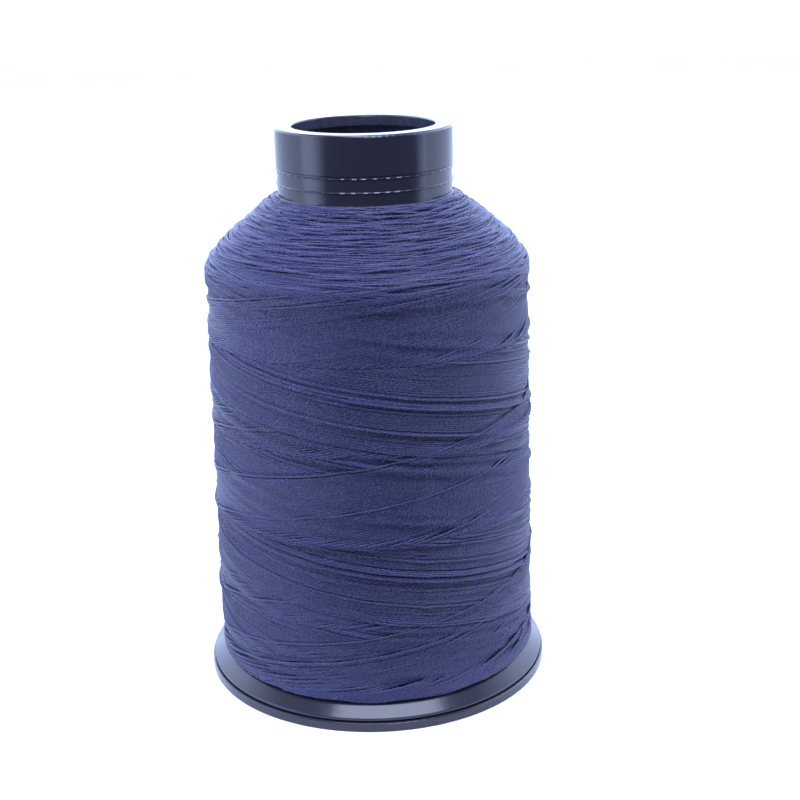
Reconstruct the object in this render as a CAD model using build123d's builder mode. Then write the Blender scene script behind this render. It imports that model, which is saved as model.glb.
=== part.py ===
# King-size spool of sewing thread: a moulded barrel, a conical flange pressed onto its foot,
# a snap-on base that slides down to take the thread's end, and the thread wound on the barrel.
# Millimetres. +Z is the spool's axis, and z = 0 is the surface that the spool stands on.
import os
from math import atan2, cos, sin, tan

from build123d import *

os.makedirs("parts", exist_ok=True)

# Overall size
HEIGHT = 121.0
BASE_RADIUS = 38.0

# Barrel
BARREL_RADIUS = 18.6
BARREL_WALL = 1.8
BARREL_FOOT_Z = 2.6
COLLAR_Z = 112.9
RIM_OPENING_RADIUS = 15.0
RIM_THICKNESS = 2.2
RIM_OUTER_ROUNDING = 0.5
RIM_INNER_ROUNDING = 0.3

# Fine raised rings that keep the first layer of thread from slipping
RING_HEIGHT = 0.15
RING_WIDTH = 0.4
RING_CREST = 0.15
RING_PITCH = 2.8
TOP_RING_Z = 112.3
RING_COUNT = 34

# Ring inside the barrel's foot that the snap fingers catch on
CATCH_RADIUS = 15.3
CATCH_BOTTOM_Z = 5.0
CATCH_TOP_Z = 8.2
CATCH_LEAD_IN = 1.2

# Flange
FLANGE_RADIUS = 37.55
FLANGE_WALL = 1.8
FLANGE_EDGE_BOTTOM_Z = 2.3
FLANGE_EDGE_TOP_Z = 2.9
FLANGE_EDGE_ROUNDING = 0.2
SLEEVE_RADIUS = 20.3
SLEEVE_TOP_Z = 17.2
SLEEVE_TIP_RADIUS = 19.2
CONE_TOP_Z = 15.5
WEB_COUNT = 8
WEB_THICKNESS = 1.2

# Snap base
RIM_HEIGHT = 2.0
RIM_WIDTH = 1.8
BASE_EDGE_ROUNDING = 0.25
PLATE_UNDERSIDE_Z = 0.8
HUB_UNDERSIDE_Z = 0.3
HUB_TOP_Z = 14.0
HUB_RADIUS = 9.8
SPINDLE_BORE_RADIUS = 8.0
BORE_CHAMFER = 0.5
RIB_COUNT = 8
RIB_THICKNESS = 1.2
FINGER_COUNT = 4
FINGER_WIDTH = 6.0
FINGER_INNER_RADIUS = 13.5
FINGER_OUTER_RADIUS = 15.0
FINGER_TOP_Z = 15.6
BARB_RADIUS = 16.3
BARB_BOTTOM_Z = 13.4
BARB_SIDE_HEIGHT = 0.6
WINDOW_WIDTH = 7.0
WINDOW_OUTER_RADIUS = 17.4

# Wound thread
PACK_BOTTOM_RADIUS = 35.35
PACK_TOP_RADIUS = 34.5
PACK_BULGE = 0.15
PACK_FOOT_ROUNDING = 0.4
SHOULDER_Z = 93.6
SHOULDER_ROUNDING = 7.0
NECK_Z = 107.2
SHOULDER_BULGE_RADIUS = 27.0
SHOULDER_BULGE_Z = 100.7


def ring_outline(centre_z):
    """Half-section of one raised ring on the barrel, from its lower edge to its upper edge."""
    root = BARREL_RADIUS - RING_HEIGHT
    return [
        (root, centre_z - RING_WIDTH / 2),
        (BARREL_RADIUS, centre_z - RING_CREST / 2),
        (BARREL_RADIUS, centre_z + RING_CREST / 2),
        (root, centre_z + RING_WIDTH / 2),
    ]


def cone_height(radius):
    """Height of the flange's upper surface at a radius."""
    slope = (CONE_TOP_Z - FLANGE_EDGE_TOP_Z) / (FLANGE_RADIUS - SLEEVE_RADIUS)
    return FLANGE_EDGE_TOP_Z + slope * (FLANGE_RADIUS - radius)


# Barrel: an open tube with a smooth collar, an inward rim at the top and a catch ring at the foot
inner_radius = BARREL_RADIUS - BARREL_WALL
root_radius = BARREL_RADIUS - RING_HEIGHT
ring_points = []
for index in reversed(range(RING_COUNT)):
    ring_points += ring_outline(TOP_RING_Z - index * RING_PITCH)

outer_wall = [
    (BARREL_RADIUS, BARREL_FOOT_Z),
    (BARREL_RADIUS, SLEEVE_TOP_Z),
    (root_radius, SLEEVE_TOP_Z + RING_HEIGHT),
    *ring_points,
    (root_radius, COLLAR_Z - RING_HEIGHT),
    (BARREL_RADIUS, COLLAR_Z),
    (BARREL_RADIUS, HEIGHT),
]
inner_wall = [
    (RIM_OPENING_RADIUS, HEIGHT),
    (RIM_OPENING_RADIUS, HEIGHT - RIM_THICKNESS),
    (inner_radius, HEIGHT - RIM_THICKNESS - BARREL_WALL),
    (inner_radius, CATCH_TOP_Z),
    (CATCH_RADIUS, CATCH_TOP_Z),
    (CATCH_RADIUS, CATCH_BOTTOM_Z + CATCH_LEAD_IN),
    (inner_radius, CATCH_BOTTOM_Z),
    (inner_radius, BARREL_FOOT_Z),
]

with BuildPart() as barrel:
    with BuildSketch(Plane.XZ):
        with BuildLine():
            Polyline(*outer_wall, *inner_wall, close=True)
        make_face()
    revolve(axis=Axis.Z)
    top_edges = barrel.edges().filter_by(GeomType.CIRCLE).group_by(Axis.Z)[-1].sort_by(SortBy.RADIUS)
    fillet(top_edges[-1], radius=RIM_OUTER_ROUNDING)
    top_edges = barrel.edges().filter_by(GeomType.CIRCLE).group_by(Axis.Z)[-1].sort_by(SortBy.RADIUS)
    fillet(top_edges[0], radius=RIM_INNER_ROUNDING)

# Flange: a conical shell on a sleeve that is pressed over the barrel's foot, with webs below
cone_angle = atan2(CONE_TOP_Z - FLANGE_EDGE_TOP_Z, FLANGE_RADIUS - SLEEVE_RADIUS)
shell_drop = FLANGE_WALL / cos(cone_angle)
underside_outer_radius = FLANGE_RADIUS - (FLANGE_WALL / sin(cone_angle)) + (
    FLANGE_EDGE_TOP_Z - FLANGE_EDGE_BOTTOM_Z
) / tan(cone_angle)
underside_inner_z = CONE_TOP_Z - shell_drop

with BuildPart() as flange:
    with BuildSketch(Plane.XZ):
        with BuildLine():
            Polyline(
                (BARREL_RADIUS, BARREL_FOOT_Z),
                (SLEEVE_RADIUS, BARREL_FOOT_Z),
                (SLEEVE_RADIUS, underside_inner_z),
                (underside_outer_radius, FLANGE_EDGE_BOTTOM_Z),
                (FLANGE_RADIUS, FLANGE_EDGE_BOTTOM_Z),
                (FLANGE_RADIUS, FLANGE_EDGE_TOP_Z),
                (SLEEVE_RADIUS, CONE_TOP_Z),
                (SLEEVE_TIP_RADIUS, SLEEVE_TOP_Z),
                (BARREL_RADIUS, SLEEVE_TOP_Z),
                close=True,
            )
        make_face()
    revolve(axis=Axis.Z)
    edge_circles = flange.edges().filter_by(GeomType.CIRCLE).group_by(SortBy.RADIUS)[-1]
    fillet(edge_circles, radius=FLANGE_EDGE_ROUNDING)
    for index in range(WEB_COUNT):
        web_plane = Plane.XZ.rotated((0, 0, index * 360 / WEB_COUNT))
        with BuildSketch(web_plane):
            with BuildLine():
                Polyline(
                    (SLEEVE_RADIUS - BARREL_WALL / 2, BARREL_FOOT_Z),
                    (underside_outer_radius - 1, BARREL_FOOT_Z),
                    (underside_outer_radius - 1, cone_height(underside_outer_radius) - shell_drop / 2),
                    (SLEEVE_RADIUS - BARREL_WALL / 2, CONE_TOP_Z - shell_drop / 2),
                    close=True,
                )
            make_face()
        extrude(amount=WEB_THICKNESS / 2, both=True)

# Snap base: rim, recessed plate, spindle hub, ribs below and barbed fingers above
with BuildPart() as snap_base:
    with BuildSketch(Plane.XZ):
        with BuildLine():
            Polyline(
                (SPINDLE_BORE_RADIUS, HUB_UNDERSIDE_Z + BORE_CHAMFER),
                (SPINDLE_BORE_RADIUS + BORE_CHAMFER, HUB_UNDERSIDE_Z),
                (HUB_RADIUS, HUB_UNDERSIDE_Z),
                (HUB_RADIUS, PLATE_UNDERSIDE_Z),
                (BASE_RADIUS - RIM_WIDTH, PLATE_UNDERSIDE_Z),
                (BASE_RADIUS - RIM_WIDTH, 0),
                (BASE_RADIUS, 0),
                (BASE_RADIUS, RIM_HEIGHT),
                (HUB_RADIUS, RIM_HEIGHT),
                (HUB_RADIUS, HUB_TOP_Z),
                (SPINDLE_BORE_RADIUS + BORE_CHAMFER, HUB_TOP_Z),
                (SPINDLE_BORE_RADIUS, HUB_TOP_Z - BORE_CHAMFER),
                close=True,
            )
        make_face()
    revolve(axis=Axis.Z)
    rim_circles = snap_base.edges().filter_by(GeomType.CIRCLE).group_by(SortBy.RADIUS)[-1]
    fillet(rim_circles, radius=BASE_EDGE_ROUNDING)
    for index in range(RIB_COUNT):
        rib_plane = Plane.XY.offset(HUB_UNDERSIDE_Z).rotated((0, 0, (index + 0.5) * 360 / RIB_COUNT))
        rib_length = BASE_RADIUS - RIM_WIDTH / 2 - HUB_RADIUS + BORE_CHAMFER
        with BuildSketch(rib_plane):
            with Locations((HUB_RADIUS - BORE_CHAMFER + rib_length / 2, 0)):
                Rectangle(rib_length, RIB_THICKNESS)
        extrude(amount=PLATE_UNDERSIDE_Z - HUB_UNDERSIDE_Z)
    for index in range(FINGER_COUNT):
        turn = index * 360 / FINGER_COUNT
        with BuildSketch(Plane.XZ.rotated((0, 0, turn))):
            with BuildLine():
                Polyline(
                    (FINGER_INNER_RADIUS, PLATE_UNDERSIDE_Z),
                    (FINGER_OUTER_RADIUS, PLATE_UNDERSIDE_Z),
                    (FINGER_OUTER_RADIUS, BARB_BOTTOM_Z),
                    (BARB_RADIUS, BARB_BOTTOM_Z),
                    (BARB_RADIUS, BARB_BOTTOM_Z + BARB_SIDE_HEIGHT),
                    (FINGER_OUTER_RADIUS, FINGER_TOP_Z),
                    (FINGER_INNER_RADIUS, FINGER_TOP_Z),
                    close=True,
                )
            make_face()
        extrude(amount=FINGER_WIDTH / 2, both=True)
        with BuildSketch(Plane.XY.rotated((0, 0, turn))):
            with Locations(((FINGER_OUTER_RADIUS + WINDOW_OUTER_RADIUS) / 2, 0)):
                Rectangle(WINDOW_OUTER_RADIUS - FINGER_OUTER_RADIUS, WINDOW_WIDTH)
        extrude(amount=RIM_HEIGHT, mode=Mode.SUBTRACT)

# Wound thread: the pack's outer shape, resting on the flange and tapered towards the collar
pack_bottom_z = cone_height(PACK_BOTTOM_RADIUS)
with BuildPart() as wound_thread:
    with BuildSketch(Plane.XZ):
        with BuildLine():
            shoulder = Spline(
                (PACK_TOP_RADIUS, SHOULDER_Z),
                (SHOULDER_BULGE_RADIUS, SHOULDER_BULGE_Z),
                (BARREL_RADIUS, NECK_Z),
            )
            Polyline(
                (BARREL_RADIUS, NECK_Z),
                (BARREL_RADIUS, SLEEVE_TOP_Z),
                (SLEEVE_TIP_RADIUS, SLEEVE_TOP_Z),
                (SLEEVE_RADIUS, CONE_TOP_Z),
                (PACK_BOTTOM_RADIUS, pack_bottom_z),
            )
            ThreePointArc(
                (PACK_BOTTOM_RADIUS, pack_bottom_z),
                (
                    (PACK_BOTTOM_RADIUS + PACK_TOP_RADIUS) / 2 + PACK_BULGE,
                    (pack_bottom_z + SHOULDER_Z) / 2,
                ),
                (PACK_TOP_RADIUS, SHOULDER_Z),
            )
        make_face()
    revolve(axis=Axis.Z)
    outer_circles = wound_thread.edges().filter_by(GeomType.CIRCLE)
    shoulder_edge = outer_circles.filter_by_position(Axis.Z, SHOULDER_Z - 0.1, SHOULDER_Z + 0.1)
    fillet(shoulder_edge, radius=SHOULDER_ROUNDING)
    outer_circles = wound_thread.edges().filter_by(GeomType.CIRCLE)
    foot_edge = outer_circles.filter_by_position(Axis.Z, pack_bottom_z - 0.1, pack_bottom_z + 0.1)
    fillet(foot_edge, radius=PACK_FOOT_ROUNDING)

pieces = {
    "barrel": barrel,
    "flange": flange,
    "snap_base": snap_base,
    "wound_thread": wound_thread,
}
for name, piece in pieces.items():
    piece.part.label = name
    export_step(piece.part, f"parts/{name}.step")
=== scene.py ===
"""King-size spool of sewing thread: the looks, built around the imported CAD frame.

Blender's units are metres. Lengths inside the winding code are in millimetres and become metres in
one place, new_mesh(). Angles round the spool are in degrees from the side that faces the camera.
"""
import math

import bpy
import numpy as np
from mathutils import Matrix, Vector
from mathutils.bvhtree import BVHTree


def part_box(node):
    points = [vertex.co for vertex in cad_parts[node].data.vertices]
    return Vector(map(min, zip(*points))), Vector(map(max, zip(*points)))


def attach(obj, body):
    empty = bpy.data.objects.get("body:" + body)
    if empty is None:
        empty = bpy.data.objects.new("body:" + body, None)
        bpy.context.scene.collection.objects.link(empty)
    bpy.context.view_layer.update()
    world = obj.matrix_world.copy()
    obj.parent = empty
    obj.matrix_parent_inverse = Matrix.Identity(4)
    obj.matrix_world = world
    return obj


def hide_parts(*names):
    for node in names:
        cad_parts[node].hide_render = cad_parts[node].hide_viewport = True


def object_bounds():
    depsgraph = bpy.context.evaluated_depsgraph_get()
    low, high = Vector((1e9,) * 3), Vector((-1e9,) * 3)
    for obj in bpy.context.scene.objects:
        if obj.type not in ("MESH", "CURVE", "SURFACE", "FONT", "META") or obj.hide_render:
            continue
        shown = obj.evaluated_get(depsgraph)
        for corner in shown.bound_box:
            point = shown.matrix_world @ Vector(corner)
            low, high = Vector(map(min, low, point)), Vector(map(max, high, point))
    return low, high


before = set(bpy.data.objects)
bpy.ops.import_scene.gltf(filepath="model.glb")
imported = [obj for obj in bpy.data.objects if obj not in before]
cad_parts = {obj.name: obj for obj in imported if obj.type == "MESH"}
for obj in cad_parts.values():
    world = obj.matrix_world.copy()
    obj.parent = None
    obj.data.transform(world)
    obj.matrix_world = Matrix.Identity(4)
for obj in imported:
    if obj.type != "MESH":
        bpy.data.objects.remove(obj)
cad_low, cad_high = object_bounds()
MM = 0.001
rng = np.random.default_rng(11)

# Places read from the frame, in mm
thread_low, thread_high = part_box("wound_thread")
NECK_Z = thread_high.z / MM
FOOT_Z = thread_low.z / MM
BARREL_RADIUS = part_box("barrel")[1].x / MM

# The strand and how it is laid
STRAND_RADIUS = 0.212
REST_RADIUS = 0.165          # a strand rests on what lies within this distance of its centre line
STRAND_PITCH = 0.415
SPACING_SPREAD = 0.03        # how unevenly the strokes follow each other
LEAD = 37.2                  # rise of the cross-wound strand in one turn
SLOPE = LEAD / 360           # and in one degree
STROKE_TURNS = 2.5           # turns from one end of the traverse to the other
STROKE_ANGLE = 360 * STROKE_TURNS
STROKES = 358                # rising and falling strokes that are laid, two full covers of the pack
ENDS = STROKES + 1           # the places where the strand turns round, one more than the strokes
NEWEST_RISE = ENDS - 3       # number of the newest rising stroke
WRAP_Z = 57.1                # height of that stroke on the side facing the camera
TRAVERSE_LOW_Z = 3.4         # where the straight runs would meet at the flange
TRAVERSE_HIGH_Z = 96.4       # and at the shoulder
OLDER_ENDS_HIGHER = 0.6      # how much higher the oldest strokes laid here reach on the shoulder
TURN_ROUND = (34.0, 84.0)    # least and most degrees each side of an end where the strand turns round
TURN_ROUND_LOW = (34.0, 62.0)    # the same at the flange
NEWEST_TURN_ROUND = 50.0     # that of the newest ends
NEWEST_ENDS = 8

# Gaps between strokes, and strokes that wander
GAP_SHARE = 0.09             # how often a stroke leaves a gap to the one laid before beside it
GAP_WIDTH = (0.12, 0.4)      # that gap
WIDE_GAP = 0.6               # the one wide gap near the top
WIDE_GAP_AGE = 26            # how many double strokes before the newest it lies
NEWEST_GAP = 0.3             # the gap beside the newest rising stroke
CROWDING = 0.5               # how much of a gap's shift the next stroke beside it takes over
RISING_GAPS = 0.6            # share of a gap's width on rising strokes, which have some low down only
RISING_GAPS_Z = 26           # and the height under which they do
WANDER = 0.012               # how far each stroke wanders from its straight line
LOOSE_WANDER = 0.04          # how much further the looser ones do, on average
RISING_LOOSENESS = 0.4       # share of that on rising strokes

# Turns that lie loose where strokes cross, right of the camera
TOP_SEAM_Z = 77.8            # highest line where rising and falling strands interlace
SLACK_ANGLE = 72
SLACK_STROKES = 7            # how many of the newest strokes lie loose there
SLACK_LIFT = 0.5             # how far they stand off
SLACK_SHIFT = 0.5            # and swerve

# How strands press into each other, and how far the surface stands out
SQUEEZE_FROM = 0.2           # height above the outline where piled strands start to press flat
SQUEEZE = 0.25               # and the share of their thickness that is left there
END_SINK = 0.85              # how far strands bed in where the strokes turn round
LEVEL_COLUMNS = 20           # breadth over which the wound surface is levelled to the outline
LEVEL_ROWS = 42
BARE_ROWS = 6                # rows at each end that no strand covers
SURFACE_HEIGHT = -0.25       # mean height of the strands' tops above the outline
DEEPEST_GAP = -1.05          # no strand that shows lies deeper than this below the levelled surface
SIDE_RELIEF = 1.1            # how much rougher the strands lie on the side than the winding leaves them
SHOULDER_RELIEF = 0.5        # the same on the shoulder
RELIEF_CHANGE_Z = 88         # and where the one starts to pass into the other
ZONE_BLEND = 6               # height over which the side passes into the shoulder

# The shoulder's arcs
SHOULDER_ARCS = 1800         # short arcs laid on the shoulder
SHOULDER_SPAN = 70           # grid columns each side of an arc's crest
SHOULDER_SINK = 0.85         # how far they bed in between the ones below
SHOULDER_FOOT_Z = 90.5       # height of the lowest arc's crest
CREST_STEP = 137.5           # degrees from one arc's crest to the next one's, so that none line up

# Depth under the outline where the strands that are laid here begin
COVER_THICKNESS = 1.95       # on the straight side
SHOULDER_THICKNESS = 2.1     # on the shoulder
END_THICKNESS = 1.5          # how much deeper where the strokes turn round

# Teeth on the two raised rings that the thread leaves bare
TOP_RING_Z = 112.3
RING_PITCH = 2.8
TOOTH_COUNT = 52
TOOTH_LENGTH = 1.1
TOOTH_HEIGHT = 0.1

# The grid that holds the pack's height while it is wound
COLUMNS = 720
STEP = 360 / COLUMNS         # degrees from one column to the next
ROW_STEP = 0.07
NOTHING = -9.0               # height that stands for no strand
TUBE_STEP = 5                # grid columns in one tube segment
TUBE_SIDES = 6
PIECE_QUADS = 90000          # a mesh piece is closed once it has more quads than this
CORE_SIDES = 144

# The thread's plies
PLIES = 3
PLY_PITCH = 1.1              # length of strand in which the plies' wave repeats

# Light
LAMP_COLOUR = (0.86, 0.95, 1.4)
OPENING_AZIMUTH = 9          # middle of the tent's open side, in degrees right of the camera
OPENING_EDGE = (60, 78)      # degrees each side of it over which the tent's wall begins
OPENING_STRENGTH = 0.18
WALL_STRENGTH = 2.9
ROOF_STRENGTH = 0.5
SEEN_STRENGTH = 1.3          # of the backdrop, as the camera sees it


def clamp(values, low, high):
    """Values kept between low and high."""
    return np.minimum(np.maximum(values, low), high)


def smooth(values, width):
    """Values averaged over a bell-shaped window of about that many samples each side."""
    reach = int(3 * width)
    window = np.exp(-0.5 * (np.arange(-reach, reach + 1) / width) ** 2)
    padded = np.pad(values, reach, mode="edge")
    return np.convolve(padded, window / window.sum(), mode="valid")


def highest_nearby(values, reach):
    """The highest value within reach samples of each one."""
    padded = np.pad(values, reach, mode="edge")
    shifted = [padded[i:i + len(values)] for i in range(2 * reach + 1)]
    return np.max(shifted, axis=0)


def slow_noise(count, spacing, size):
    """Smooth random wander: one random value per spacing samples, joined smoothly."""
    knots = rng.normal(0, size, int(count / spacing) + 4)
    return smooth(np.interp(np.arange(count) / spacing, np.arange(len(knots)), knots), spacing / 3)


def near_ends(z):
    """1 where the strokes turn round under the shoulder, less at the flange, and 0 between."""
    under_shoulder = clamp((z - 89.6) / 1.6, 0, 1) * clamp((97 - z) / 2, 0, 1)
    at_flange = 0.4 * clamp((7.6 - z) / 2, 0, 1)
    return under_shoulder + at_flange


class Pack:
    """The wound pack: its outline, and the height of its surface while strands are laid on it."""

    def __init__(self):
        self.read_outline()
        on_shoulder = clamp((self.z - SHOULDER_FOOT_Z) / ZONE_BLEND, 0, 1)
        self.depth = COVER_THICKNESS + (SHOULDER_THICKNESS - COVER_THICKNESS) * on_shoulder
        self.depth += END_THICKNESS * near_ends(self.z)
        self.height = np.tile(-self.depth, (COLUMNS, 1))
        self.level = np.zeros((COLUMNS, self.rows))
        above_side = clamp((self.z - RELIEF_CHANGE_Z) / ZONE_BLEND, 0, 1)
        self.relief = SIDE_RELIEF + (SHOULDER_RELIEF - SIDE_RELIEF) * above_side

    def read_outline(self):
        """Takes the outline from the CAD solid, evenly spaced from the neck down to the flange."""
        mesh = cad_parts["wound_thread"].data
        tree = BVHTree.FromPolygons([v.co for v in mesh.vertices], [p.vertices for p in mesh.polygons])
        levels = np.arange(NECK_Z - 0.02, FOOT_Z + 0.1, -0.1)
        hits = [tree.ray_cast(Vector((1, 0, z * MM)), Vector((-1, 0, 0)))[0] for z in levels]
        radii = smooth(np.array([hit.x / MM for hit in hits]), 3)
        along = np.concatenate([[0], np.cumsum(np.hypot(np.diff(radii), np.diff(levels)))])
        self.rows = int(along[-1] / ROW_STEP)
        places = np.arange(self.rows) * ROW_STEP
        self.radius = np.interp(places, along, radii)
        self.z = np.interp(places, along, levels)
        slope_r = smooth(np.gradient(self.radius, ROW_STEP), 6)
        slope_z = smooth(np.gradient(self.z, ROW_STEP), 6)
        size = np.hypot(slope_r, slope_z)
        self.normal_r = -slope_z / size
        self.normal_z = slope_r / size

    def row_of(self, z):
        """Row of the outline at a height."""
        return np.interp(-z, -self.z, np.arange(self.rows))

    def settle(self, column, row, sink=0.0):
        """Height above the outline at which the centre of a strand comes to rest along a path.

        With sink above 0 it beds in between the strands below instead of riding on the highest.
        """
        column = column % COLUMNS
        nearest = np.rint(row).astype(int)
        reach = int(STRAND_RADIUS / ROW_STEP) + 1
        highest = np.full(len(column), NOTHING)
        total = np.zeros(len(column))
        count = np.zeros(len(column))
        for offset in range(-reach, reach + 1):
            side = (nearest + offset - row) * ROW_STEP
            inside = np.abs(side) < REST_RADIUS
            rise = np.sqrt(np.maximum(REST_RADIUS ** 2 - side ** 2, 0))
            below = self.height[column, clamp(nearest + offset, 0, self.rows - 1)] + rise
            highest = np.where(inside, np.maximum(highest, below), highest)
            total += np.where(inside, below, 0)
            count += inside
        mean = total / np.maximum(count, 1)
        centre = (1 - sink) * smooth(highest_nearby(highest, 2), 3.0) + sink * smooth(mean, 3.0)
        return centre - (1 - SQUEEZE) * np.maximum(centre - SQUEEZE_FROM, 0)

    def lay(self, column, row, centre):
        """Raises the surface to the top of a strand that lies with its centre at these heights."""
        column = column % COLUMNS
        nearest = np.rint(row).astype(int)
        reach = int(STRAND_RADIUS / ROW_STEP) + 1
        for offset in range(-reach, reach + 1):
            side = (nearest + offset - row) * ROW_STEP
            rise = np.sqrt(np.maximum(STRAND_RADIUS ** 2 - side ** 2, 0))
            under = clamp(nearest + offset, 0, self.rows - 1)
            top = np.where(rise > 0, centre + rise, NOTHING)
            self.height[column, under] = np.maximum(self.height[column, under], top)

    def find_level(self):
        """The surface's broad rise and fall, which is taken out so that the pack keeps its outline."""
        edge = int(3 * LEVEL_ROWS)
        laid = self.height[:, BARE_ROWS:-BARE_ROWS]
        padded = np.pad(laid, ((0, 0), (edge + BARE_ROWS, edge + BARE_ROWS)), mode="edge")
        across = np.exp(-0.5 * (2 * np.pi * LEVEL_COLUMNS * np.fft.fftfreq(COLUMNS)) ** 2)
        down = np.exp(-0.5 * (2 * np.pi * LEVEL_ROWS * np.fft.rfftfreq(padded.shape[1])) ** 2)
        blurred = np.fft.irfft2(np.fft.rfft2(padded) * np.outer(across, down), padded.shape)
        self.level = blurred[:, edge:edge + self.rows] - SURFACE_HEIGHT

    def point(self, column, row, height):
        """Place in space of points on the pack, from their column, row and height."""
        under = clamp(np.rint(row).astype(int), 0, self.rows - 1)
        height = np.maximum(height - self.level[np.asarray(column) % COLUMNS, under], DEEPEST_GAP)
        height = height * self.relief[under]
        angle = np.radians(np.asarray(column) * 360 / COLUMNS - 90)    # the camera is on the -Y side
        index = np.arange(self.rows)
        across = np.interp(row, index, self.radius) + height * np.interp(row, index, self.normal_r)
        up = np.interp(row, index, self.z) + height * np.interp(row, index, self.normal_z)
        return np.stack([across * np.cos(angle), across * np.sin(angle), up], axis=1)

    def shows(self, column, row, height):
        """Whether each point of a strand can be seen: nothing laid later covers its whole width."""
        column = np.asarray(column) % COLUMNS
        seen = np.zeros(len(column), bool)
        for side in (-0.8, -0.4, 0, 0.4, 0.8):
            across = side * STRAND_RADIUS
            under = clamp(np.rint(row + across / ROW_STEP).astype(int), 0, self.rows - 1)
            top = height + math.sqrt(STRAND_RADIUS ** 2 - across ** 2)
            seen |= top > self.height[column, under] - 0.035
        return highest_nearby(seen.astype(float), 6) > 0


def wind_shoulder(pack):
    """The ends of all the older strokes: short arcs that turn round on the tapered shoulder."""
    strands = []
    last_row = pack.row_of(SHOULDER_FOOT_Z)
    steps = np.arange(-SHOULDER_SPAN, SHOULDER_SPAN + 1)
    degrees = steps * 360 / COLUMNS
    crest_angle = 0.0
    for index in range(SHOULDER_ARCS):
        crest_angle += CREST_STEP + rng.normal(0, 5)
        crest_row = max(last_row * index / SHOULDER_ARCS + rng.normal(0, 3), 2.5)
        column = steps + int(crest_angle * COLUMNS / 360)
        turn_round = rng.uniform(*TURN_ROUND_LOW)
        drop = LEAD / 360 * degrees ** 2 / (2 * turn_round)
        skew = rng.normal(0, 0.008) * degrees
        wander = slow_noise(len(steps), 24, 0.04)
        row = clamp(crest_row + (drop + skew + wander) / ROW_STEP, 2, pack.rows - 1)
        height = pack.settle(column, row, SHOULDER_SINK) + rng.normal(0, 0.04)
        height -= 0.5 * np.maximum(drop - 0.5, 0)
        pack.lay(column, row, height)
        strands.append((column, row, height, np.full(len(column), rng.random())))
    return strands


def slack_at(angle, z, age):
    """Lift and sideways shift of the few newest strokes where a turn lies loose at a crossing seam."""
    lift = np.zeros(len(angle))
    shift = np.zeros(len(angle))
    for seam in range(4):
        seam_z = TOP_SEAM_Z - seam * LEAD / 2
        along = (angle - SLACK_ANGLE - 5 * math.sin(7.0 * seam) + 180) % 360 - 180
        bell = np.exp(-0.5 * (along / 5.5) ** 2 - 0.5 * ((z - seam_z) / 1.3) ** 2)
        bell = np.where(age < SLACK_STROKES, bell, 0)
        lift += SLACK_LIFT * bell
        shift += SLACK_SHIFT * bell * np.sin(along / 4 + 5.0 * age)
    return lift, shift


def plan_strokes():
    """Angle and height of each end of a stroke, how it turns round, and each stroke's push aside."""
    shift = STRAND_PITCH / SLOPE
    spacing = 1 + rng.normal(0, SPACING_SPREAD, ENDS)
    gap = np.where(rng.random(ENDS) < GAP_SHARE, rng.uniform(*GAP_WIDTH, ENDS), 0)
    gap[ENDS - 2 - 2 * WIDE_GAP_AGE] += WIDE_GAP
    push = gap.copy()
    for index in range(2, ENDS):
        push[index] += CROWDING * push[index - 2]
    push[NEWEST_RISE] = NEWEST_GAP
    knot_angle = np.arange(ENDS) * STROKE_ANGLE - np.cumsum(shift / 2 * spacing)
    knot_angle += (TRAVERSE_LOW_Z - WRAP_Z) / SLOPE - knot_angle[NEWEST_RISE]
    knot_angle -= 360 * math.floor(knot_angle[0] / 360)
    low_end = np.arange(ENDS) % 2 == 0
    older = 1 - np.arange(ENDS) / ENDS
    knot_z = np.where(low_end, TRAVERSE_LOW_Z, TRAVERSE_HIGH_Z + OLDER_ENDS_HIGHER * older)
    turn_round = np.where(low_end, rng.uniform(*TURN_ROUND_LOW, ENDS), rng.uniform(*TURN_ROUND, ENDS))
    turn_round[-NEWEST_ENDS:] = NEWEST_TURN_ROUND
    return knot_angle, knot_z, turn_round, push


def round_off(angle, stroke, knot_angle, turn_round):
    """How far the strand turns round short of each end instead of running into a corner."""
    near = np.rint(stroke).astype(int)
    away = np.abs(angle - knot_angle[near])
    reach = turn_round[near]
    rounding = np.where(away < reach, SLOPE * ((away ** 2 + reach ** 2) / (2 * reach) - away), 0)
    return np.where(near % 2 == 0, rounding, -rounding)


def lay_in_parts(pack, column, row, lift, bedding):
    """Lays one long strand a stroke's length at a time, so that it rests on its own earlier turns."""
    heights = []
    length = int(STROKE_ANGLE / STEP)
    margin = 12
    for start in range(0, len(column), length):
        end = min(start + length, len(column))
        first, last = max(start - margin, 0), min(end + margin, len(column))
        height = pack.settle(column[first:last], row[first:last], bedding[first:last])
        height = height[start - first:end - first]
        height += lift[start:end]
        pack.lay(column[start:end], row[start:end], height)
        heights.append(height)
    return np.concatenate(heights)


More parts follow.
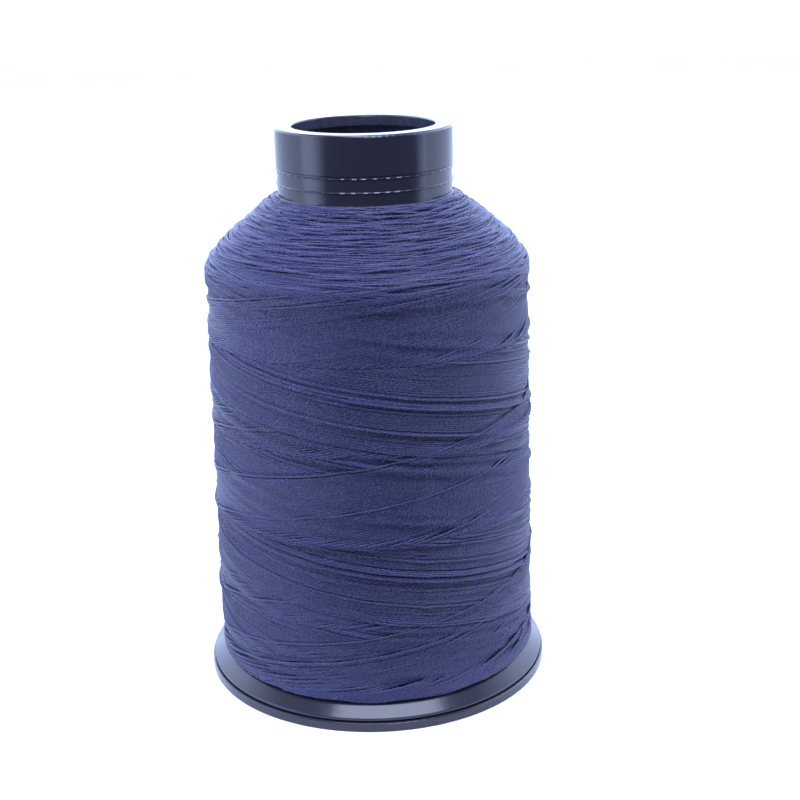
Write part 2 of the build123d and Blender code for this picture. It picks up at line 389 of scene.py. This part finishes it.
def wind_body(pack):
    """The outer cover: one strand that rises and falls in crossing strokes of 2.5 turns each."""
    knot_angle, knot_z, turn_round, push = plan_strokes()
    column = np.arange(int(knot_angle[0] / STEP), int(knot_angle[-1] / STEP))
    angle = column * STEP
    stroke = np.interp(angle, knot_angle, np.arange(ENDS))
    number = stroke.astype(int)
    falling = number % 2 == 1
    z = np.interp(angle, knot_angle, knot_z)
    z += round_off(angle, stroke, knot_angle, turn_round)
    looseness = np.where(falling, 1.0, RISING_LOOSENESS)
    loose = WANDER + rng.exponential(LOOSE_WANDER, ENDS)[number] * looseness
    z += slow_noise(len(column), 200, 1.0) * loose + slow_noise(len(column), 24, 0.01)
    on_rise = np.where(number == NEWEST_RISE, 1.0, RISING_GAPS * clamp((RISING_GAPS_Z - z) / 6, 0, 1))
    on_stroke = np.where(falling, -1.0, on_rise)
    fading = 0.65 + 0.35 * np.sin(np.radians(angle + 9 * z))
    z += push[number] * on_stroke * fading
    lift, aside = slack_at(angle, z, ENDS - 1 - stroke)
    row = pack.row_of(clamp(z + aside, FOOT_Z + 0.15, NECK_Z - 1))
    height = lay_in_parts(pack, column, row, lift, END_SINK * near_ends(z))
    pack.find_level()
    tone = 0.5 + slow_noise(len(column), 700, 0.35)
    return [(column, row, height, clamp(tone, 0, 1))]


def tube(points, radius, segments_before):
    """Vertices and quads of a closed tube through points, with tapered, capped ends."""
    count = len(points)
    along = np.gradient(points, axis=0)
    along /= np.linalg.norm(along, axis=1, keepdims=True)
    outward = points * np.array([1, 1, 0])
    outward -= along * np.sum(outward * along, axis=1, keepdims=True)
    outward /= np.linalg.norm(outward, axis=1, keepdims=True)
    sideways = np.cross(along, outward)
    turn = np.arange(TUBE_SIDES) * 2 * np.pi / TUBE_SIDES
    taper = np.ones(count)
    taper[0] = taper[-1] = 0.35
    ring = (np.cos(turn)[None, :, None] * outward[:, None, :]
            + np.sin(turn)[None, :, None] * sideways[:, None, :])
    vertices = points[:, None, :] + radius * taper[:, None, None] * ring
    first = segments_before + np.arange(count - 1)[:, None] * TUBE_SIDES
    side = np.arange(TUBE_SIDES)[None, :]
    following = (side + 1) % TUBE_SIDES
    quads = np.stack([first + side, first + following,
                      first + TUBE_SIDES + following, first + TUBE_SIDES + side], axis=2)
    return vertices.reshape(-1, 3), quads.reshape(-1, 4)


def new_mesh(name, vertices, faces, smooth_faces=True):
    """A new object from vertices in mm and faces as lists of corner numbers."""
    mesh = bpy.data.meshes.new(name)
    mesh.from_pydata((np.asarray(vertices) * MM).tolist(), [], faces)
    mesh.polygons.foreach_set("use_smooth", [smooth_faces] * len(mesh.polygons))
    mesh.update()
    piece = bpy.data.objects.new(name, mesh)
    bpy.context.scene.collection.objects.link(piece)
    return piece


def visible_runs(shown, shortest):
    """Start and end of each stretch of True that is at least that long."""
    edges = np.flatnonzero(np.diff(np.concatenate([[0], shown.astype(int), [0]])))
    return [(a, b) for a, b in zip(edges[::2], edges[1::2]) if b - a >= shortest]


class StrandMesh:
    """Tubes gathered for one mesh piece, with each vertex's length, place round and tone."""

    def __init__(self):
        self.vertices = []
        self.quads = []
        self.caps = []
        self.places = []
        self.count = 0
        self.size = 0

    def add(self, points, tone, travelled):
        """Adds a tube through points, and returns its length."""
        vertices, quads = tube(points, STRAND_RADIUS, self.count)
        last = self.count + (len(points) - 1) * TUBE_SIDES
        self.caps.append(list(range(self.count + TUBE_SIDES - 1, self.count - 1, -1)))
        self.caps.append(list(range(last, last + TUBE_SIDES)))
        lengths = np.concatenate([[0], np.cumsum(np.linalg.norm(np.diff(points, axis=0), axis=1))])
        around = np.tile(np.arange(TUBE_SIDES) / TUBE_SIDES, len(points))
        along = np.repeat(lengths + travelled, TUBE_SIDES)
        self.places.append(np.stack([along, around, np.repeat(tone, TUBE_SIDES)], axis=1))
        self.vertices.append(vertices)
        self.quads.append(quads)
        self.count += len(vertices)
        self.size += len(quads)
        return lengths[-1]

    def build(self, name, finish):
        """The mesh piece of the tubes gathered so far."""
        faces = np.concatenate(self.quads).tolist() + self.caps
        piece = new_mesh(name, np.concatenate(self.vertices), faces)
        layer = piece.data.attributes.new("strand", "FLOAT_VECTOR", "POINT")
        layer.data.foreach_set("vector", np.concatenate(self.places).ravel())
        piece.data.materials.append(finish)
        return piece


def build_strands(name, pack, strands, finish):
    """Mesh pieces of the strands' visible stretches, split so that no piece is too large."""
    pieces = []
    gathered = StrandMesh()
    travelled = 0.0
    for column, row, height, tone in strands:
        shown = pack.shows(column, row, height)
        for start, end in visible_runs(shown, 2 * TUBE_STEP):
            picks = np.unique(np.append(np.arange(start, end - 1, TUBE_STEP), end - 1))
            points = pack.point(column[picks], row[picks], height[picks])
            travelled += gathered.add(points, tone[picks], travelled) + rng.uniform(0, 5)
            if gathered.size > PIECE_QUADS:
                pieces.append(gathered.build(f"{name}_{len(pieces) + 1}", finish))
                gathered = StrandMesh()
    if gathered.count:
        pieces.append(gathered.build(f"{name}_{len(pieces) + 1}", finish))
    return pieces


def build_core(pack, finish):
    """The closed solid of older thread that lies under the visible strands."""
    rows = np.arange(0, pack.rows, 12)
    depth = pack.depth - 0.1
    outline = [(pack.radius[i] - depth[i] * pack.normal_r[i], pack.z[i] - depth[i] * pack.normal_z[i])
               for i in rows]
    inner = BARREL_RADIUS + 0.02
    outline = [(max(r, inner + 0.02), z) for r, z in outline]
    outline = [(inner, outline[0][1])] + outline + [(inner, 17.2)]
    angles = np.arange(CORE_SIDES) * 2 * np.pi / CORE_SIDES
    vertices = [(r * math.cos(a), r * math.sin(a), z) for a in angles for r, z in outline]
    count = len(outline)
    faces = []
    for i in range(CORE_SIDES):
        here, beyond = i * count, (i + 1) % CORE_SIDES * count
        for j in range(count):
            k = (j + 1) % count
            faces.append((here + j, beyond + j, beyond + k, here + k))
    piece = new_mesh("thread_core", vertices, faces)
    piece.data.materials.append(finish)
    return piece


def build_ring_teeth(name, z, finish):
    """Low teeth along one raised ring of the barrel, which show as a dashed line of glints."""
    vertices = []
    faces = []
    root, crest = BARREL_RADIUS - 0.1, BARREL_RADIUS + TOOTH_HEIGHT
    for index in range(TOOTH_COUNT):
        middle = 2 * math.pi * (index + rng.uniform(-0.12, 0.12)) / TOOTH_COUNT
        half = TOOTH_LENGTH * rng.uniform(0.6, 1.1) / 2 / BARREL_RADIUS
        first = len(vertices)
        for turn, inset in ((-half, 0), (-0.8 * half, 1), (0.8 * half, 1), (half, 0)):
            angle = middle + turn
            out = crest if inset else crest - 0.06
            for radius, up in ((root, -0.2), (out, -0.08), (out, 0.02), (root, 0.22)):
                vertices.append((radius * math.cos(angle), radius * math.sin(angle), z + up))
        for section in range(3):
            for side in range(4):
                a = first + 4 * section + side
                b = first + 4 * section + (side + 1) % 4
                faces.append((a, a + 4, b + 4, b))
        faces.append((first, first + 1, first + 2, first + 3))
        faces.append((first + 15, first + 14, first + 13, first + 12))
    piece = new_mesh(name, vertices, faces, smooth_faces=False)
    piece.data.materials.append(finish)
    return piece


def material(name):
    """A new node material, its nodes, its links and its shader."""
    made = bpy.data.materials.new(name)
    made.use_nodes = True
    nodes, links = made.node_tree.nodes, made.node_tree.links
    return made, nodes, links, nodes["Principled BSDF"]


def calculate(tree, operation, *values):
    """Result of a Math node on values, each of which is a number or another node's output."""
    node = tree.nodes.new("ShaderNodeMath")
    node.operation = operation
    for socket, value in zip(node.inputs, values):
        if isinstance(value, (int, float)):
            socket.default_value = value
        else:
            tree.links.new(value, socket)
    return node.outputs["Value"]


def map_range(tree, source, low, high, to_low=0.0, to_high=1.0):
    """Result of a Map Range node on another node's output."""
    node = tree.nodes.new("ShaderNodeMapRange")
    node.inputs["From Min"].default_value = low
    node.inputs["From Max"].default_value = high
    node.inputs["To Min"].default_value = to_low
    node.inputs["To Max"].default_value = to_high
    tree.links.new(source, node.inputs["Value"])
    return node.outputs["Result"]


def noise(tree, place, scale, detail=2.0):
    """Noise over a place that another node gives."""
    node = tree.nodes.new("ShaderNodeTexNoise")
    node.inputs["Scale"].default_value = scale
    node.inputs["Detail"].default_value = detail
    tree.links.new(place, node.inputs["Vector"])
    return node.outputs["Fac"]


def add_bump(tree, height, strength, distance):
    """Leads a height into the shader's normal."""
    node = tree.nodes.new("ShaderNodeBump")
    node.inputs["Strength"].default_value = strength
    node.inputs["Distance"].default_value = distance
    tree.links.new(height, node.inputs["Height"])
    tree.links.new(node.outputs["Normal"], tree.nodes["Principled BSDF"].inputs["Normal"])


def ply_twist(tree, place, along, around):
    """Wave of the plies that wind round a strand, with a phase that drifts along it."""
    slow = noise(tree, place, 0.3)
    start = calculate(tree, "MULTIPLY", around, 2 * math.pi * PLIES)
    phase = calculate(tree, "MULTIPLY_ADD", slow, 20.0, start)
    turns = calculate(tree, "MULTIPLY_ADD", along, 2 * math.pi / PLY_PITCH, phase)
    return calculate(tree, "SINE", turns)


def thread_material(name, colour, roughness):
    """Bonded nylon: navy, with the plies' twist in relief and a slow drift of tone along the strand."""
    made, nodes, links, shader = material(name)
    tree = made.node_tree
    shader.inputs["Roughness"].default_value = roughness
    shader.inputs["Sheen Weight"].default_value = 0.3
    shader.inputs["Sheen Roughness"].default_value = 0.35
    shader.inputs["Sheen Tint"].default_value = (0.85, 0.9, 1.0, 1)
    strand = nodes.new("ShaderNodeAttribute")
    strand.attribute_name = "strand"
    place = strand.outputs["Vector"]
    parts = nodes.new("ShaderNodeSeparateXYZ")
    links.new(place, parts.inputs["Vector"])
    drift = map_range(tree, noise(tree, place, 2.0), 0.3, 0.7, 0.6, 1.5)
    own = map_range(tree, parts.outputs["Z"], 0.0, 1.0, 0.85, 1.15)
    tint = nodes.new("ShaderNodeVectorMath")
    tint.operation = "SCALE"
    tint.inputs[0].default_value = colour
    links.new(calculate(tree, "MULTIPLY", drift, own), tint.inputs["Scale"])
    links.new(tint.outputs["Vector"], shader.inputs["Base Color"])
    add_bump(tree, ply_twist(tree, place, parts.outputs["X"], parts.outputs["Y"]), 1.0, 0.08 * MM)
    return made


def core_material():
    """Older layers, seen only through gaps: coloured darker than the thread's own navy, which paints the
    shade that falls in the gaps, with streaks of the same near-level strands in its colour.
    """
    made, nodes, links, shader = material("thread_core")
    shader.inputs["Roughness"].default_value = 0.6
    place = nodes.new("ShaderNodeTexCoord")
    stretch = nodes.new("ShaderNodeMapping")
    stretch.inputs["Scale"].default_value = (120, 120, 2400)
    links.new(place.outputs["Object"], stretch.inputs["Vector"])
    # painted shade: both ends of the ramp are several times darker than the thread's own colour
    ramp = nodes.new("ShaderNodeValToRGB")
    ramp.color_ramp.elements[0].color = (0.004, 0.004, 0.02, 1)
    ramp.color_ramp.elements[1].color = (0.015, 0.015, 0.06, 1)
    links.new(noise(made.node_tree, stretch.outputs["Vector"], 1.0), ramp.inputs["Fac"])
    links.new(ramp.outputs["Color"], shader.inputs["Base Color"])
    return made


def dust_and_painted_light_inside(tree, place, grain):
    """Amount of dust and painted light: none outside the barrel, grainy inside it, and little on the
    rim's lip. The most is on the wall under the lip, where the lighter colour paints light onto the wall
    that the lip shades.
    """
    level = tree.nodes.new("ShaderNodeVectorMath")
    level.operation = "MULTIPLY"
    level.inputs[1].default_value = (1, 1, 0)
    tree.links.new(place, level.inputs[0])
    length = tree.nodes.new("ShaderNodeVectorMath")
    length.operation = "LENGTH"
    tree.links.new(level.outputs["Vector"], length.inputs[0])
    radius = length.outputs["Value"]
    inside = map_range(tree, radius, (BARREL_RADIUS - 0.8) * MM, (BARREL_RADIUS - 1.4) * MM)
    # painted light: the full lighter colour goes on the wall that the lip shades, and a quarter of it on
    # the lip's face
    painted_light_under_lip = map_range(tree, radius, (BARREL_RADIUS - 3.0) * MM, (BARREL_RADIUS - 2.2) * MM, 0.25)
    return calculate(tree, "MULTIPLY", grain, calculate(tree, "MULTIPLY", inside, painted_light_under_lip))


def plastic_material(name, colour, roughness, gloss, dust_and_painted_light):
    """Black gloss moulding: faint unevenness and handling marks, and dust inside the barrel. On the
    barrel that lighter colour also paints light onto the shaded wall under the rim's lip.
    """
    made, nodes, links, shader = material(name)
    tree = made.node_tree
    shader.inputs["IOR"].default_value = 1.52
    shader.inputs["Specular Tint"].default_value = (*gloss, 1)
    place = nodes.new("ShaderNodeTexCoord").outputs["Object"]
    grain = noise(tree, place, 900, 3)
    rough = map_range(tree, grain, 0.0, 1.0, roughness * 0.6, roughness * 1.6)
    links.new(rough, shader.inputs["Roughness"])
    shade = nodes.new("ShaderNodeMix")
    shade.data_type = "RGBA"
    shade.inputs[6].default_value = (*colour, 1)
    # the second colour: dust, which on the barrel is also painted light on the shaded inner wall
    shade.inputs[7].default_value = (*dust_and_painted_light, 1)
    links.new(dust_and_painted_light_inside(tree, place, grain), shade.inputs[0])
    links.new(shade.outputs[2], shader.inputs["Base Color"])
    add_bump(tree, noise(tree, place, 260), 0.2, 0.1 * MM)
    return made


def make_camera():
    """The camera at the photograph's viewing angle: above the shoulder, looking down on the base."""
    distance, height = 0.3104, 0.1598
    pitch, yaw, roll = math.radians(17.75), math.radians(1.172), math.radians(-1.305)
    forward = Vector((math.sin(yaw) * math.cos(pitch), math.cos(yaw) * math.cos(pitch), -math.sin(pitch)))
    right = Vector((math.cos(yaw), -math.sin(yaw), 0))
    up = right.cross(forward)
    turned_right = math.cos(roll) * right + math.sin(roll) * up
    turned_up = math.cos(roll) * up - math.sin(roll) * right
    data = bpy.data.cameras.new("camera")
    data.sensor_width = 36
    data.lens = 66.51
    camera = bpy.data.objects.new("camera", data)
    bpy.context.scene.collection.objects.link(camera)
    camera.matrix_world = Matrix.Translation((0, -distance, height)) @ Matrix((
        turned_right, turned_up, -forward)).transposed().to_4x4()
    bpy.context.scene.camera = camera


def mix_values(tree, factor, first, second):
    """Result of a Mix node that goes from another node's output to a number."""
    node = tree.nodes.new("ShaderNodeMix")
    tree.links.new(factor, node.inputs["Factor"])
    tree.links.new(first, node.inputs["A"])
    node.inputs["B"].default_value = second
    return node.outputs["Result"]


def make_world():
    """A white light tent, open and dark towards the camera and dimmer overhead."""
    world = bpy.data.worlds.new("tent")
    bpy.context.scene.world = world
    world.use_nodes = True
    tree = world.node_tree
    background = tree.nodes["Background"]
    background.inputs["Color"].default_value = (0.8, 0.98, 1.5, 1)
    place = tree.nodes.new("ShaderNodeTexCoord")
    parts = tree.nodes.new("ShaderNodeSeparateXYZ")
    tree.links.new(place.outputs["Generated"], parts.inputs["Vector"])
    forward = calculate(tree, "MULTIPLY", parts.outputs["Y"], -1.0)
    across = calculate(tree, "ARCTAN2", parts.outputs["X"], forward)
    centred = calculate(tree, "SUBTRACT", across, math.radians(OPENING_AZIMUTH))
    size = calculate(tree, "ABSOLUTE", centred)
    edge, full = (math.radians(angle) for angle in OPENING_EDGE)
    walls = map_range(tree, size, edge, full, OPENING_STRENGTH, WALL_STRENGTH)
    overhead = map_range(tree, parts.outputs["Z"], 0.55, 0.8)
    lighting = mix_values(tree, overhead, walls, ROOF_STRENGTH)
    seen = tree.nodes.new("ShaderNodeLightPath")
    final = mix_values(tree, seen.outputs["Is Camera Ray"], lighting, SEEN_STRENGTH)
    tree.links.new(final, background.inputs["Strength"])


def make_floor():
    """A plain pale floor under the spool and behind it."""
    front, far = -58, 1500
    vertices = [(-far, front, 0), (far, front, 0), (far, far, 0), (-far, far, 0)]
    floor = new_mesh("floor", vertices, [(0, 1, 2, 3)])
    made, _, _, shader = material("floor")
    shader.inputs["Base Color"].default_value = (0.95, 0.95, 0.95, 1)
    shader.inputs["Roughness"].default_value = 0.8
    floor.data.materials.append(made)
    floor.location.z = cad_low.z


def make_lamp(name, width, depth, energy, place, tilt=0.0):
    """A soft rectangular lamp that shines down, or forward by the tilt."""
    data = bpy.data.lights.new(name, "AREA")
    data.shape = "RECTANGLE"
    data.size = width
    data.size_y = depth
    data.energy = energy
    data.color = LAMP_COLOUR
    lamp = bpy.data.objects.new(name, data)
    lamp.location = place
    lamp.rotation_euler = (math.radians(tilt), 0, 0)
    bpy.context.scene.collection.objects.link(lamp)


def make_studio():
    """A pale floor in a light tent, with one large soft lamp above and a small one nearer."""
    bpy.context.scene.view_settings.view_transform = "Standard"
    make_world()
    make_floor()
    make_lamp("ceiling_panel", 0.78, 0.7, 12.5, (0.06, -0.25, 1.0))
    make_lamp("near_lamp", 0.12, 0.12, 0.54, (-0.02, -0.26, 0.37), 45)


make_camera()
make_studio()

pack = Pack()
shoulder_strands = wind_shoulder(pack)
body_strands = wind_body(pack)

strand_finish = thread_material("bonded_thread", (0.0275, 0.0255, 0.131), 0.37)
pieces = build_strands("thread_cover", pack, body_strands, strand_finish)
pieces += build_strands("thread_shoulder", pack, shoulder_strands, strand_finish)
core = build_core(pack, core_material())
pieces.append(core)
for piece in pieces:
    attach(piece, "spool")
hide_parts("wound_thread")

# Each moulding's colour, roughness, specular tint and dust colour inside the barrel's radius; the
# barrel's lighter one also paints light onto the inner wall that the rim's lip shades.
for node, colour, roughness, gloss, dust_and_painted_light in (
    ("barrel", (0.018, 0.017, 0.026), 0.16, (1.0, 1.0, 1.0), (0.2, 0.2, 0.27)),
    ("flange", (0.018, 0.017, 0.026), 0.15, (0.86, 0.86, 0.79), (0.02, 0.02, 0.03)),
    ("snap_base", (0.018, 0.017, 0.026), 0.16, (0.86, 0.86, 0.79), (0.02, 0.02, 0.03)),
):
    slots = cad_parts[node].material_slots
    slots[0].material = plastic_material(f"{node}_plastic", colour, roughness, gloss, dust_and_painted_light)

barrel_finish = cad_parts["barrel"].material_slots[0].material
for ring in range(2):
    teeth = build_ring_teeth(f"ring_teeth_{ring + 1}", TOP_RING_Z - ring * RING_PITCH, barrel_finish)
    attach(teeth, "spool")
